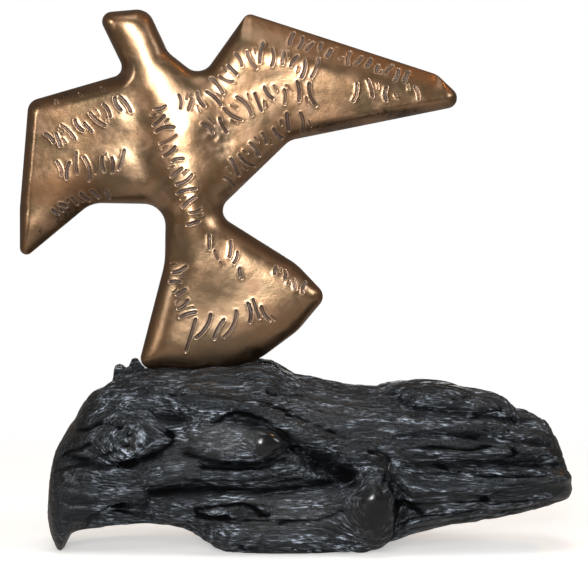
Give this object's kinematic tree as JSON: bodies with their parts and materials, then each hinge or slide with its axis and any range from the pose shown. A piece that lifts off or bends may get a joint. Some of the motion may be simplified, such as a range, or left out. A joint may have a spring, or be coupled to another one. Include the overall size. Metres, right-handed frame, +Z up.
{
  "type": "dove statue",
  "caption": "Polished bronze dove with spread wings and rows of plain cut strokes, standing on its fanned tail on a blackened, gnarled root.",
  "frame": {"origin": "on the ground, under the middle of the whole work's box", "axes": "+X along the root towards the end under the longer wing, -Y the side with the cut strokes, +Z up"},
  "size_m": [0.3692, 0.1202, 0.3593],
  "materials": {
    "polished_bronze": "polished golden brown bronze, darker and greyer in the cut strokes",
    "blackened_root": "black, waxed to a satin gloss"
  },
  "bodies": {
    "root": {"dove": "polished_bronze", "root_base": "blackened_root"}
  },
  "joints": []
}
